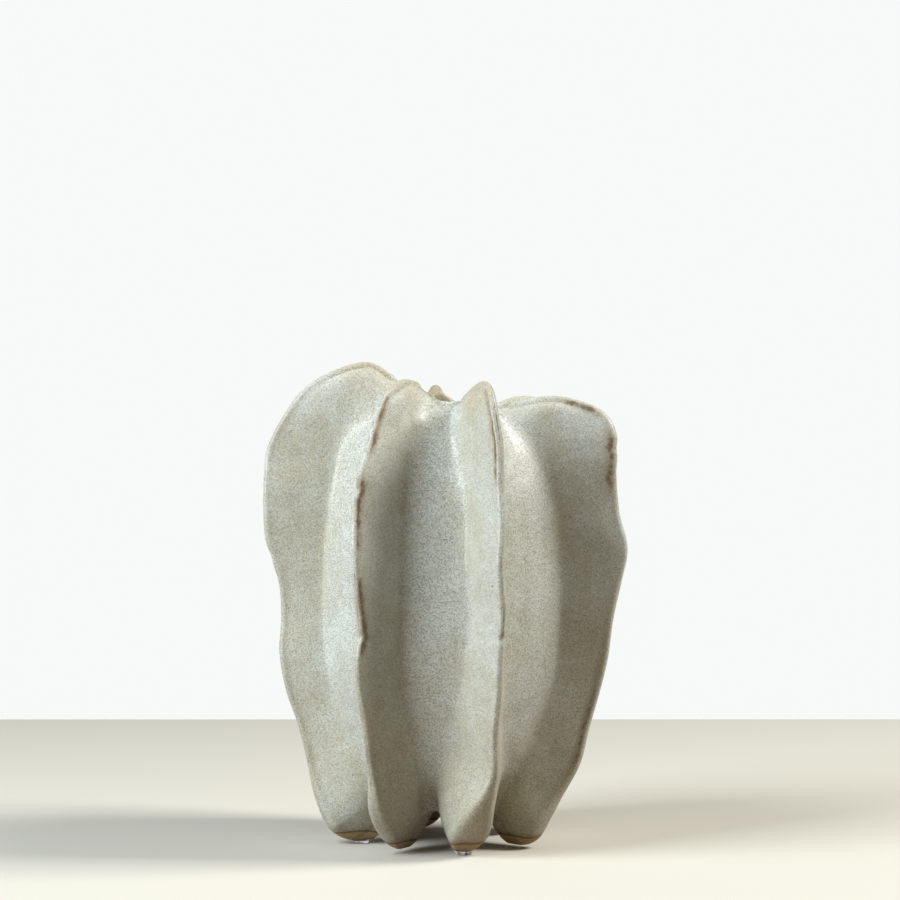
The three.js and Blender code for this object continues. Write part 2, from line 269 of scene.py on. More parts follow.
# Specks: cells per metre, radius as a share of a cell, and the share of cells without one. Then the dark core
# as a share of the radius, and the further share of cells whose specks are faint.
SPECKS = ((2100, 0.54, 0.36), (3300, 0.56, 0.40), (520, 0.20, 0.80))
SPECK_CORE = 0.35
FAINT_SPECKS = 0.3

# Pits: cells per metre, radii of the bottom and the edge as shares of a cell, and the shares of cells without
# one and with none or a faint one
PIT_CELLS = 95
PIT_RADII = (0.03, 0.075)
PIT_RARITY = (0.8, 0.85)

# The grey that the paler bare clay tends to, and how far
CLAY_PALING = (0.6, 0.2)

# Heights above the table between which the colour turns from darker and warmer low down to pale, and from
# satin to dull
DARKER_LOW_DOWN = (5 * MM, 75 * MM)
DULL_RIM = (188 * MM, 198 * MM)

# How far the glaze line wanders up and down, how far off it the brown line along it begins to fade and has
# ended, the height of the thin glaze above it, and half the width of the step from glaze to clay
LINE_DRIFT = 2.25 * MM
LINE_WIDTHS = (0.1 * MM, 0.8 * MM)
LINE_HALO = 3.5 * MM
LINE_STEP = 0.3 * MM

# Options that properties share
LENGTH = {"unit": "LENGTH", "precision": 4}
SHARE = {"subtype": "FACTOR", "min": 0.0, "max": 1.0}
COLOUR = {"subtype": "COLOR", "size": 3, "min": 0.0, "max": 1.0}


class VaseShape(bpy.types.PropertyGroup):
    """Sizes of the slabs, the coils and the feet"""

    slab_thickness: bpy.props.FloatProperty(
        name="Slab thickness", description="Wall at the bottom of a valley",
        default=5.2 * MM, **LENGTH)
    fin_thickness: bpy.props.FloatProperty(
        name="Fin thickness", description="Two slab edges pressed together",
        default=6.4 * MM, **LENGTH)
    edge_rounding: bpy.props.FloatProperty(
        name="Edge rounding", description="How far the rounding of a fin's edge reaches down its faces",
        default=2.6 * MM, **LENGTH)
    edge_squareness: bpy.props.FloatProperty(
        name="Edge squareness", description="2 for a round edge, more for a flat one with sharper arrises",
        default=2.5, min=2.0, max=8.0)
    edge_taper: bpy.props.FloatProperty(
        name="Edge taper", description="Thickness of a fin's edge as a share of the fin's own",
        default=0.62, **SHARE)
    edge_sway: bpy.props.FloatProperty(
        name="Edge sway", description="How far a fin sways to either side on its way up",
        default=math.radians(0.7), subtype="ANGLE")
    sole_rounding: bpy.props.FloatProperty(
        name="Sole rounding", description="Radius of the rounding round a sole",
        default=3.2 * MM, **LENGTH)
    root_rise: bpy.props.FloatProperty(
        name="Root rise", description="How far outside the valley a fin's face begins to turn",
        default=2.0 * MM, **LENGTH)
    root_slope: bpy.props.FloatProperty(
        name="Root slope", description="Share of the way to the valley's height at a fin's root",
        default=0.1, **SHARE)
    valley_flatness: bpy.props.FloatProperty(
        name="Valley flatness", description="Share of a valley's half width that is nearly flat",
        default=0.55, **SHARE)
    wedge: bpy.props.FloatProperty(
        name="Wedge", description="Share of the way to the valley by which a fin's root moves in low down",
        default=0.5, **SHARE)
    root_spread: bpy.props.FloatProperty(
        name="Root spread", description="How much wider a fin is at its root, on each side",
        default=3.4 * MM, **LENGTH)
    face_swell: bpy.props.FloatProperty(
        name="Face swell", description="Share of the root's spread that a face has halfway in from the edge",
        default=0.8, **SHARE)
    straight_above: bpy.props.FloatProperty(
        name="Straight above", description="Share of the height from which faces run straight to the valley",
        default=0.88, subtype="FACTOR", min=0.0, max=0.99)
    foot_thickness: bpy.props.FloatProperty(
        name="Foot thickness", description="Thickness of a fin where it becomes a foot",
        default=14 * MM, **LENGTH)
    foot_rounding: bpy.props.FloatProperty(
        name="Foot rounding", description="Depth of a foot's rounded edge as a share of its half thickness",
        default=0.68, **SHARE)
    foot_chamfer: bpy.props.FloatProperty(
        name="Foot chamfer", description="How far the sides of a sole are cut back",
        default=2.4 * MM, **LENGTH)
    chamfer_height: bpy.props.FloatProperty(
        name="Chamfer height", description="Height of the cut on a sole's sides",
        default=6 * MM, **LENGTH)
    foot_height: bpy.props.FloatProperty(
        name="Foot height", description="Height over which a foot thins to a fin",
        default=40 * MM, **LENGTH)
    foot_inner_reach: bpy.props.FloatProperty(
        name="Foot inner reach", description="Distance of a sole's inner end from the axis",
        default=33.5 * MM, **LENGTH)
    arch_height: bpy.props.FloatProperty(
        name="Arch height", description="Height of the arches between the feet",
        default=16.5 * MM, **LENGTH)
    groove_depth: bpy.props.FloatProperty(
        name="Groove depth", description="Depth of the groove inside, behind each fin",
        default=3.6 * MM, **LENGTH)
    groove_width: bpy.props.FloatProperty(
        name="Groove width", description="Width of the groove inside, behind each fin",
        default=9 * MM, **LENGTH)
    crown_fall: bpy.props.FloatProperty(
        name="Crown fall", description="Drop across the end of a crown, towards the chamber",
        default=2.6 * MM, **LENGTH)
    lip_rise: bpy.props.FloatProperty(
        name="Lip rise", description="How far the rim's rounded lip stands above the slab's end",
        default=2.2 * MM, **LENGTH)
    sole_swell: bpy.props.FloatProperty(
        name="Sole swell", description="How far the rounded lower end of a slab swells between the feet",
        default=0.7 * MM, **LENGTH)
    hand_waver: bpy.props.FloatProperty(
        name="Hand waver", description="How far the hand-smoothed faces stray from true",
        default=1.1 * MM, **LENGTH)


class GlazeLook(bpy.types.PropertyGroup):
    """Colours of the glaze and the clay"""

    glaze_pale: bpy.props.FloatVectorProperty(
        name="Pale glaze", description="Glaze where it lies thick",
        default=(0.70, 0.73, 0.715), **COLOUR)
    # Also the darker, warmer tone that the colour takes towards the bottom
    glaze_warm: bpy.props.FloatVectorProperty(
        name="Warm glaze", description="Glaze where it lies thinner",
        default=(0.55, 0.525, 0.425), **COLOUR)
    speck_colour: bpy.props.FloatVectorProperty(
        name="Speck", description="Iron specks in the glaze",
        default=(0.06, 0.045, 0.025), **COLOUR)
    break_colour: bpy.props.FloatVectorProperty(
        name="Break", description="Glaze that has broken to brown on an edge",
        default=(0.155, 0.08, 0.03), **COLOUR)
    stain_colour: bpy.props.FloatVectorProperty(
        name="Stain", description="Thin brownish glaze beside a break",
        default=(0.33, 0.22, 0.11), **COLOUR)
    clay_colour: bpy.props.FloatVectorProperty(
        name="Bare clay", description="Unglazed clay of the soles",
        default=(0.53, 0.405, 0.245), **COLOUR)
    glaze_line: bpy.props.FloatProperty(
        name="Glaze line", description="Height at which the glaze stops above the table",
        default=5.4 * MM, **LENGTH)


class StageLook(bpy.types.PropertyGroup):
    """Place of the camera, and the floor's colour"""

    camera_distance: bpy.props.FloatProperty(
        name="Camera distance", description="From the camera to the vase's axis",
        default=1.347, unit="LENGTH")
    camera_height: bpy.props.FloatProperty(
        name="Camera height", description="Above the table", default=0.201, unit="LENGTH")
    focal_length: bpy.props.FloatProperty(
        name="Focal length", description="On a sensor 36 mm wide", default=120.0)
    tilt: bpy.props.FloatProperty(
        name="Tilt", description="How far the camera looks down",
        default=math.radians(1.07), subtype="ANGLE")
    turn: bpy.props.FloatProperty(
        name="Turn", description="How far the camera looks to the right of the axis",
        default=math.radians(0.0764), subtype="ANGLE")
    floor_colour: bpy.props.FloatVectorProperty(
        name="Floor", description="Pale table top",
        default=(0.735, 0.70, 0.635), **COLOUR)
    bounce_colour: bpy.props.FloatVectorProperty(
        name="Floor bounce", description="Floor as it colours the light it throws on the vase",
        default=(0.18, 0.125, 0.065), **COLOUR)


# Outlines

def smooth(value, low, high):
    """Smooth step from 0 at low to 1 at high."""
    share = np.clip((np.asarray(value, float) - low) / (high - low), 0, 1)
    return share * share * (3 - 2 * share)


def mix(first, second, share):
    return first + (second - first) * share


def spline(points, places):
    """Points at places from 0 to 1 along a Catmull-Rom spline through evenly counted points."""
    points = np.asarray(points, float)
    last = len(points) - 1
    along = np.clip(places, 0, 1) * last
    start = np.minimum(along.astype(int), last - 1)
    share = (along - start)[:, None]
    before, here, there, after = (points[np.clip(start + step, 0, last)] for step in (-1, 0, 1, 2))
    leave = (there - before) / 2
    arrive = (after - here) / 2
    bend = 3 * (there - here) - 2 * leave - arrive
    swing = 2 * (here - there) + leave + arrive
    return here + share * (leave + share * (bend + share * swing))


def bezier(handles, places):
    """Points at places from 0 to 1 along a Bezier curve."""
    while len(handles) > 1:
        handles = [mix(first, second, places) for first, second in zip(handles, handles[1:])]
    return handles[0]


def fin_azimuth(fin, height):
    """Azimuth of a fin, on the parabola through its ankle, waist and crest, with its foot turned aside."""
    shape = bpy.context.scene.vase_shape
    sole, ankle, waist, crest = FINS[fin]["azimuths"]
    share = np.clip(height / (CREST_HEIGHT * MM), 0, 1)
    bend = 4 * waist - 3 * ankle - crest
    turn = (sole - ankle) * (1 - smooth(height, 0, shape.foot_height))
    straight = np.radians(ankle + turn + bend * share + (crest - ankle - bend) * share * share)
    sway = sum(weight * np.sin(share * up + fin * apart) for up, apart, weight in SWAYS)
    sway /= sum(weight for up, apart, weight in SWAYS)
    return straight + shape.edge_sway * smooth(share, *SWAY_BEGINS) * sway


def polar(radius, azimuth, height):
    """Points at heights above the feet."""
    shape = np.broadcast(radius, azimuth, height).shape
    points = np.empty(shape + (3,))
    points[..., 0] = radius * np.sin(azimuth)
    points[..., 1] = -radius * np.cos(azimuth)
    points[..., 2] = height + FOOT_LIFT
    return points


def across(azimuth):
    """Level direction of growing azimuth."""
    azimuth = np.asarray(azimuth)
    return np.stack([np.cos(azimuth), np.sin(azimuth), np.zeros_like(azimuth)], -1)


def fin_point(fin, reach, height, sideways):
    """Points along a fin, moved sideways off its middle plane."""
    azimuth = fin_azimuth(fin, np.asarray(height))
    return polar(reach, azimuth, height) + across(azimuth) * np.asarray(sideways)[..., None]


def valley_before(fin):
    return (fin - 1) % len(VALLEYS)


def valley_radius(slab, height):
    """Outer radius of a slab's valley at heights above the feet."""
    valley = VALLEYS[slab]
    arch = bpy.context.scene.vase_shape.arch_height
    places = (height - arch) / (valley["rim_height"] * MM - arch)
    radii = np.array(VALLEY_RADII + (valley["rim_radius"],), float)
    return spline(radii[:, None], np.ravel(places))[:, 0].reshape(np.shape(height)) * MM


def chamber_radius(fin, height):
    """Radius of the chamber behind a fin. Below the arch it follows the inner end of the foot."""
    shape = bpy.context.scene.vase_shape
    above = np.maximum(height, shape.arch_height)
    outer = (valley_radius(fin, above) + valley_radius(valley_before(fin), above)) / 2
    inner = outer - shape.slab_thickness
    share = np.clip(height / shape.arch_height, 0, 1)
    return mix(shape.foot_inner_reach, inner, share)


def fin_outline(fin, levels):
    """A fin's edge at levels from 0 at the foot to 1 at the mouth, and the way in from it, square to it."""
    data = FINS[fin]
    rims = VALLEYS[fin]["rim_radius"] + VALLEYS[valley_before(fin)]["rim_radius"]
    mouth = rims / 2 - bpy.context.scene.vase_shape.slab_thickness / MM / 2
    points = list(zip(data["reach"], SIDE_HEIGHTS)) + list(data["crown"]) + [(mouth, data["end_height"])]
    step = 1e-4
    edge = spline(points, levels)
    on_side = 1 - smooth(levels, *NICKS_END)
    for nicked, height, depth, half_length in NICKS:
        if nicked == fin:
            edge[:, 0] -= depth * on_side * np.exp(-((edge[:, 1] - height) / half_length) ** 2)
    tangent = spline(points, np.minimum(levels + step, 1)) - spline(points, np.maximum(levels - step, 0))
    inwards = np.stack([-tangent[:, 1], tangent[:, 0]], -1)
    inwards /= np.linalg.norm(inwards, axis=1)[:, None]
    sole = (1 - np.clip(levels * (len(points) - 1), 0, 1))[:, None]
    inwards = mix(inwards, np.array((-1.0, 0.0)), sole)
    inwards /= np.linalg.norm(inwards, axis=1)[:, None]
    edge = edge * MM
    edge[:, 0] -= sole_inset(fin, edge[:, 1])
    return edge, inwards


def half_thickness(fin, height):
    """Half of a fin's thickness: chamfered at the sole, thick in the foot, slim above."""
    shape = bpy.context.scene.vase_shape
    chamfer = shape.foot_chamfer * (1 - smooth(height, 0, shape.chamfer_height))
    foot = 1 - smooth(height, shape.chamfer_height, shape.foot_height)
    thick = shape.foot_thickness * FINS[fin]["girth"]
    return mix(shape.fin_thickness, thick, foot) / 2 - chamfer - sole_inset(fin, height)


def sole_inset(fin, height):
    """How far the rounding round a fin's sole cuts in at heights above it."""
    radius = bpy.context.scene.vase_shape.sole_rounding * FINS[fin]["girth"]
    below = np.clip(radius - np.asarray(height), 0, radius)
    return radius - np.sqrt(radius * radius - below * below)


# Meshes

def grid_places(shell, rows, columns):
    """Makes a grid of points in a bmesh, and gives each vertex with its row and its column."""
    bmesh.ops.create_grid(shell, x_segments=columns - 1, y_segments=rows - 1, size=0.5)
    for vertex in shell.verts:
        row = round((vertex.co.y + 0.5) * (rows - 1))
        column = round((vertex.co.x + 0.5) * (columns - 1))
        yield vertex, row, column


def weld(shell):
    """Closes the seams of a bmesh and turns its faces outward."""
    bmesh.ops.remove_doubles(shell, verts=shell.verts, dist=TOUCHING)
    bmesh.ops.recalc_face_normals(shell, faces=shell.faces)


def place_mesh(shell, name):
    """An object made of a bmesh."""
    mesh = bpy.data.meshes.new(name)
    shell.to_mesh(mesh)
    shell.free()
    thing = bpy.data.objects.new(name, mesh)
    bpy.context.collection.objects.link(thing)
    return thing


def finish_piece(shell, node, sharp=math.radians(55)):
    """Makes an object of a bmesh, in place of a node of the frame."""
    piece = place_mesh(shell, f"vase_{node}")
    piece.data.shade_smooth()
    piece.data.set_sharp_from_angle(angle=sharp)
    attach(piece, "root")
    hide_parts(node)
    return piece


# Slabs

def half_section(fin, side, valley, levels):
    """The edge of a fin and its face down to the valley, on one side of the fin."""
    shape = bpy.context.scene.vase_shape
    edge, inwards = fin_outline(fin, levels)
    half = half_thickness(fin, edge[:, 1])
    turn = np.linspace(0, math.pi / 2, EDGE_COLUMNS)
    rounding = np.maximum(shape.edge_rounding, shape.foot_rounding * half)
    depth = np.outer(rounding, 1 - np.cos(turn) ** (2 / shape.edge_squareness))
    reach = edge[:, :1] + inwards[:, :1] * depth
    height = edge[:, 1:] + inwards[:, 1:] * depth
    taper = mix(1.0, shape.edge_taper, smooth(edge[:, 1], shape.chamfer_height, shape.foot_height))
    edge_half = (half * taper)[:, None] * np.sin(turn) ** (2 / shape.edge_squareness)
    cap = fin_point(fin, reach, height, side * edge_half)

    face_top = cap[:, -1]
    top_reach = reach[:, -1]
    top_height = height[:, -1]
    root_reach = np.minimum(top_reach, valley["radius"] + shape.root_rise)
    above_foot = smooth(levels, *WEDGE_FADE)
    wedge = shape.wedge * (1 - above_foot)[:, None]
    at_root = side * (half + shape.root_spread * above_foot)
    straight = smooth(levels, shape.straight_above, 1)[:, None]
    roots = []
    for share in (shape.root_slope, 1 - shape.root_slope):
        corner = fin_point(fin, root_reach, mix(top_height, valley["height"], share), at_root)
        corner = mix(corner, valley["point"], wedge)
        corner = mix(corner, mix(face_top, valley["point"], mix(*STRAIGHT_ROOTS, share)), straight)
        roots += [corner, corner]
    halfway = (top_reach + root_reach) / 2
    bulge = fin_point(fin, halfway, top_height, mix(side * half, at_root, shape.face_swell))
    bulge = mix(bulge, valley["point"], wedge / 2)
    bulge = mix(bulge, mix(face_top, valley["point"], STRAIGHT_BULGE), straight)
    span = fin_point(fin, valley["radius"], valley["height"], at_root) - valley["point"]
    flat = shape.valley_flatness * (1 - wedge) * np.linalg.norm(span, axis=1)[:, None]
    beside = valley["point"] - side * flat * across(valley["azimuth"])
    places = np.linspace(0, 1, FACE_COLUMNS)[1:, None, None]
    face = bezier((face_top, bulge, *roots, beside, valley["point"]), places).transpose(1, 0, 2)
    return np.concatenate([cap, face], axis=1)


def chamber_line(slab, levels, shares):
    """The inner face of a slab, at shares of the way from its first fin's middle plane to its second's."""
    shape = bpy.context.scene.vase_shape
    following = (slab + 1) % len(FINS)
    rim = VALLEYS[slab]["rim_height"] * MM
    valley_height = mix(shape.arch_height, rim, levels)[:, None]
    first, second = (
        (levels * (FINS[fin]["end_height"] * MM - shape.crown_fall))[:, None] for fin in (slab, following))
    rise = smooth(np.abs(shares - 0.5), 0, 0.5)
    near_first = shares < 0.5
    height = mix(valley_height, np.where(near_first, first, second), rise)
    inner = valley_radius(slab, np.maximum(height, shape.arch_height)) - shape.slab_thickness
    behind = np.where(near_first, chamber_radius(slab, height), chamber_radius(following, height))
    radius = mix(inner, behind, rise)
    start = fin_azimuth(slab, height)
    end = fin_azimuth(following, height) + turn_over(slab)
    azimuth = mix(start, end, shares)
    off_fin = np.minimum(shares, 1 - shares) * (end - start) * radius
    groove = np.clip(1 - off_fin / (shape.groove_width / 2), 0, 1) * groove_share(height)
    return polar(radius + shape.groove_depth * groove, azimuth, height)


def groove_share(height):
    """Share of the groove's full depth, running out above the floor and below the mouth."""
    low, high = groove_ends()
    return smooth(height, low - GROOVE_RUNOUT, low) * (1 - smooth(height, high, high + GROOVE_RUNOUT))


def groove_ends():
    """Heights above the feet between which the grooves are full: those of the coils in the frame."""
    bottoms, tops = zip(*(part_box(f"seam_coil_{i + 1}") for i in range(len(FINS))))
    return min(low[2] for low in bottoms) - FOOT_LIFT, max(high[2] for high in tops) - FOOT_LIFT


def turn_over(slab):
    """A full turn for the slab that closes the ring, and none for the others."""
    return 2 * math.pi if slab == len(FINS) - 1 else 0


def slab_lines(slab, levels):
    """Outer and inner lines of a slab at levels from 0 at the foot to 1 at the rim."""
    shape = bpy.context.scene.vase_shape
    following = (slab + 1) % len(FINS)
    data = VALLEYS[slab]
    height = mix(shape.arch_height, data["rim_height"] * MM, levels)
    radius = valley_radius(slab, height)
    share = mix(data["share"][0], data["share"][1], levels ** 2)
    start = fin_azimuth(slab, height)
    end = fin_azimuth(following, height) + turn_over(slab)
    azimuth = mix(start, end, share)
    valley = {
        "radius": radius, "height": height, "azimuth": azimuth, "point": polar(radius, azimuth, height)}
    first = half_section(slab, 1, valley, levels)
    second = half_section(following, -1, valley, levels)
    outer = np.concatenate([first, second[:, -2::-1]], axis=1)
    turned = np.arctan2(outer[..., 0], -outer[..., 1])
    turned = np.where(turned < start[:, None] - math.pi, turned + 2 * math.pi, turned)
    turned = np.where(turned > start[:, None] + math.pi, turned - 2 * math.pi, turned)
    own = outer[..., 2] - FOOT_LIFT
    low = fin_azimuth(slab, own)
    high = fin_azimuth(following, own) + turn_over(slab)
    shares = np.clip((turned - low) / (high - low), 0, 1)
    shares[:, 0] = 0
    shares[:, -1] = 1
    return outer, chamber_line(slab, levels, np.maximum.accumulate(shares, axis=1))


def slab_rings(slab):
    """Rings of points round a slab, from the closed sole up to the closed rim."""
    shape = bpy.context.scene.vase_shape
    levels = np.linspace(0, 1, ROWS)
    outer, inner = slab_lines(slab, levels)
    rim_lift = np.minimum(shape.lip_rise, LIP_SHARE * np.linalg.norm(outer[-1] - inner[-1], axis=1))
    for fin_end in (outer[-1, 0], outer[-1, -1]):
        rim_lift *= smooth(np.linalg.norm(outer[-1] - fin_end, axis=1), 0, LIP_RUNOUT)
    sole_height = (outer[0, :, 2] + inner[0, :, 2]) / 2 - FOOT_LIFT
    sole_lift = np.minimum(shape.sole_swell, sole_height / 4)
    drop = np.outer(smooth(levels, LIP_BEGINS, 1), rim_lift)
    outer[..., 2] -= drop
    inner[..., 2] -= drop
    turns = np.linspace(0, math.pi / 2, LIP_ROWS + 1)[1:]
    foot = []
    rim = []
    for turn in turns:
        for rows, end, lift in ((foot, 0, -sole_lift), (rim, -1, rim_lift)):
            middle = (outer[end] + inner[end]) / 2
            swell = np.outer(lift * math.sin(turn), (0, 0, 1))
            rows.append([mix(middle, line[end], math.cos(turn)) + swell for line in (outer, inner)])
    outer = np.concatenate([[row[0] for row in reversed(foot)], outer, [row[0] for row in rim]])
    inner = np.concatenate([[row[1] for row in reversed(foot)], inner, [row[1] for row in rim]])
    return np.concatenate([outer, inner[:, ::-1], outer[:, :1]], axis=1)


def slab_masks(slab, rings):
    """Masks over a slab's points: brown breaks, thin glaze on edges, bare crests, and glaze in valleys."""
    half = EDGE_COLUMNS + FACE_COLUMNS - 1
    columns = 2 * half - 1
    outer = rings[:, :columns]
    last_point = len(SIDE_HEIGHTS) + len(FINS[slab]["crown"])
    place = last_point * np.clip((np.arange(len(rings)) - LIP_ROWS) / (ROWS - 1), 0, 1)[:, None]
    broken = np.zeros(rings.shape[:2])
    thin = np.zeros(rings.shape[:2])
    crest = np.zeros(rings.shape[:2])
    pooled = np.zeros(rings.shape[:2])
    sides = (
        (slab, 1, np.arange(half)),
        ((slab + 1) % len(FINS), -1, np.arange(columns - 1, columns - 1 - half, -1)),
    )
    for fin, side, order in sides:
        line = outer[:, order]
        steps = np.linalg.norm(np.diff(line, axis=1), axis=2)
        travel = np.concatenate([np.zeros((len(line), 1)), np.cumsum(steps, axis=1)], axis=1) / MM
        from_arris = travel - travel[:, ARRIS_COLUMN, None]
        thin[:, order] = np.exp(-(np.maximum(travel - THIN_REACH, 0) / THIN_FADE) ** 2)
        pooled[:, order] = smooth(np.linspace(0, 1, half), POOL_BEGINS, 1)
        tip = outer[LIP_ROWS + round((ROWS - 1) * (last_point - 1) / last_point), order[0]]
        off_tip = np.linalg.norm(rings - tip, axis=2) / MM
        clay, spread = BARE_CRESTS.get(fin, SLIGHTLY_BARE)
        crest = np.maximum(crest, clay * (1 - smooth(off_tip, CREST_CORE * spread, spread)))
        for broken_fin, broken_side, low, high, strength, inset in BREAKS:
            if (broken_fin, broken_side) == (fin, side):
                begun = smooth(place, low - BREAK_RUNOUT, low + BREAK_RUNOUT)
                ended = smooth(place, high - BREAK_RUNOUT, high + BREAK_RUNOUT)
                off_line = from_arris - inset
                fade = np.where(off_line < 0, BREAK_FADES[0] + inset / 2, BREAK_FADES[1])
                line_mask = strength * np.exp(-(off_line / fade) ** 2) * begun * (1 - ended)
                broken[:, order] = np.maximum(broken[:, order], line_mask)
    inside = slice(columns, 2 * columns)
    for joint in (columns, 2 * columns - 1):
        off_joint = np.linalg.norm(rings[:, inside] - rings[:, joint:joint + 1], axis=2) / MM
        thin[:, inside] = np.maximum(thin[:, inside], np.exp(-(off_joint / HELD_AT_JOINT) ** 2))
    return {"broken": broken, "thin": thin, "crest": crest, "pooled": pooled}


def waver(place, offset):
    """Slow stray of a hand-smoothed face at a place, from -1 to 1."""
    slow = noise.noise(place * SLOW_STRAY[0] + Vector((offset, 0, 0)))
    quick = noise.noise(place * QUICK_STRAY[0] + Vector((0, offset, 0)))
    return slow * SLOW_STRAY[1] + quick * QUICK_STRAY[1]


def make_slab(slab):
    """One slab as a grid bent round its rings of points."""
    shape = bpy.context.scene.vase_shape
    rings = slab_rings(slab)
    masks = slab_masks(slab, rings)
    shell = bmesh.new()
    layers = {name: shell.verts.layers.float.new(name) for name in masks}
    for vertex, row, column in grid_places(shell, *rings.shape[:2]):
        vertex.co = rings[row, column]
        for name, layer in layers.items():
            vertex[layer] = masks[name][row, column]
    weld(shell)
    shell.normal_update()
    for vertex in shell.verts:
        free = 1 - vertex[layers["thin"]]
        off_sole = smooth(vertex.co.z - FOOT_LIFT, *STRAY_BEGINS)
        stray = shape.hand_waver * free * off_sole * waver(vertex.co, slab * STRAY_STEP)
        vertex.co += vertex.normal * float(stray)
    return finish_piece(shell, f"wall_slab_{slab + 1}")


# Coils, floor and bumpers

def make_seam_coil(fin):
    """A rounded bead of clay along the groove behind a fin."""
    shape = bpy.context.scene.vase_shape
    low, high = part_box(f"seam_coil_{fin + 1}")
    heights = np.linspace(low[2], high[2], COIL_ROWS) - FOOT_LIFT
    places = np.linspace(0, 2 * math.pi, COIL_COLUMNS + 1)
    half = shape.groove_width / 2 - COIL_CLEARANCE
    bead = bmesh.new()
    for vertex, row, column in grid_places(bead, COIL_ROWS, COIL_COLUMNS + 1):
        height = heights[row]
        place = places[column]
        outward = math.cos(place)
        end = min(1.0, math.sqrt(min(row, COIL_ROWS - 1 - row) / COIL_END_ROWS))
        wall = float(chamber_radius(fin, np.array([height]))[0])
        width = half * end * math.sin(place) * (1 - COIL_SHARE * max(0.0, outward))
        depth = shape.groove_depth * COIL_SHARE if outward > 0 else COIL_STAND
        stray = COIL_STRAY * noise.noise(Vector((fin * COIL_STEP, height * COIL_BENDS, place)))
        reach = wall + depth * end * outward + stray
        vertex.co = fin_point(fin, np.array([reach]), np.array([height]), np.array([width]))[0]
    weld(bead)
    return finish_piece(bead, f"seam_coil_{fin + 1}")


def make_floor_slab():
    """A round slab with softened edges."""
    low, high = (Vector(corner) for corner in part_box("floor_slab"))
    radius = (high.x - low.x) / 2
    disc = bmesh.new()
    bmesh.ops.create_cone(
        disc, cap_ends=True, segments=ROUND_STEPS, radius1=radius - FLOOR_FLARE, radius2=radius,
        depth=high.z - low.z, matrix=Matrix.Translation((0, 0, (low.z + high.z) / 2)))
    rims = [edge for edge in disc.edges if abs(edge.verts[0].co.z - edge.verts[1].co.z) < TOUCHING]
    bmesh.ops.bevel(
        disc, geom=rims, offset=FLOOR_EDGE, offset_type="OFFSET", affect="EDGES", segments=3, profile=0.5,
        material=-1)
    return finish_piece(disc, "floor_slab", sharp=math.radians(35))


def make_floor_coil():
    """A ring with a hollow face in the corner of the floor and the wall."""
    low, high = (Vector(corner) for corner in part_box("floor_coil"))
    tall = high.z - low.z
    outer = (high.x - low.x) / 2 - FLOOR_FLARE
    corners = [(outer, low.z), (outer + FLOOR_FLARE, high.z)]
    for share in HOLLOW_PLACES:
        sag = COIL_SAG * tall * math.sin(math.pi * share)
        corners.append((outer - tall * share + sag, high.z - tall * share - sag))
    corners.append((outer - tall, low.z))
    ring = bmesh.new()
    profile = [ring.verts.new((radius, 0, height)) for radius, height in corners]
    edges = [ring.edges.new((profile[i], profile[(i + 1) % len(profile)])) for i in range(len(profile))]
    bmesh.ops.spin(
        ring, geom=profile + edges, cent=(0, 0, 0), axis=(0, 0, 1), angle=2 * math.pi, steps=ROUND_STEPS,
        use_merge=True)
    weld(ring)
    return finish_piece(ring, "floor_coil", sharp=math.radians(50))


def make_bumper(node):
    """A low round pad with a domed edge and a flat sole."""
    low, high = (Vector(corner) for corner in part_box(node))
    centre = (low + high) / 2
    radius = (high.x - low.x) / 2
    pad = bmesh.new()
    bmesh.ops.create_cone(
        pad, cap_ends=True, segments=BUMPER_STEPS, radius1=radius, radius2=radius, depth=high.z - low.z,
        matrix=Matrix.Translation(centre))
    sole = [edge for edge in pad.edges if all(vertex.co.z < centre.z for vertex in edge.verts)]
    bmesh.ops.bevel(
        pad, geom=sole, offset=BUMPER_EDGE, offset_type="OFFSET", affect="EDGES", segments=5, profile=0.5,
        material=-1)
    return finish_piece(pad, node, sharp=math.radians(40))


# Materials

def new_material(name):
    material = bpy.data.materials.new(name)
    material.use_nodes = True
    material.node_tree.nodes.clear()
    return material, material.node_tree


def add_node(tree, kind, inputs=None, **settings):
    """A node with its settings, and its inputs set to values or linked to sockets."""
    node = tree.nodes.new(kind)
    for name, value in settings.items():
        setattr(node, name, value)
    for name, value in (inputs or {}).items():
        if isinstance(value, bpy.types.NodeSocket):
            tree.links.new(value, node.inputs[name])
        else:
            node.inputs[name].default_value = value
    return node


def math_node(tree, operation, first, second=0.0, third=0.0, clamp=False):
    node = add_node(tree, "ShaderNodeMath", {0: first, 1: second, 2: third}, operation=operation)
    node.use_clamp = clamp
    return node.outputs[0]


def weighted_sum(tree, start, *parts):
    """A start value, and parts with their weights added to it."""
    total = start
    for part, weight in parts:
        total = math_node(tree, "MULTIPLY_ADD", part, weight, total)
    return total


def ramp(tree, value, low, high):
    """Smooth step from 0 at low to 1 at high."""
    node = add_node(
        tree, "ShaderNodeMapRange",
        {"Value": value, "From Min": low, "From Max": high}, interpolation_type="SMOOTHSTEP")
    return node.outputs["Result"]


def fall(tree, value, low, high):
    """Smooth step from 1 at low to 0 at high."""
    return math_node(tree, "SUBTRACT", 1.0, ramp(tree, value, low, high))


def opaque(colour):
    return (*colour, 1.0)


def mix_colour(tree, factor, first, second, blend="MIX"):
    node = add_node(
        tree, "ShaderNodeMix", {0: factor, 6: first, 7: second}, data_type="RGBA", blend_type=blend)
    return node.outputs[2]


def coat(tree, under, mask, strength, colour):
    """A coat of colour over another, as thick as a mask and a strength make it."""
    return mix_colour(tree, math_node(tree, "MULTIPLY", mask, strength), under, opaque(colour))


def noise_value(tree, place, scale, detail, roughness):
    node = add_node(
        tree, "ShaderNodeTexNoise",
        {"Vector": place, "Scale": scale, "Detail": detail, "Roughness": roughness})
    return node.outputs["Fac"]


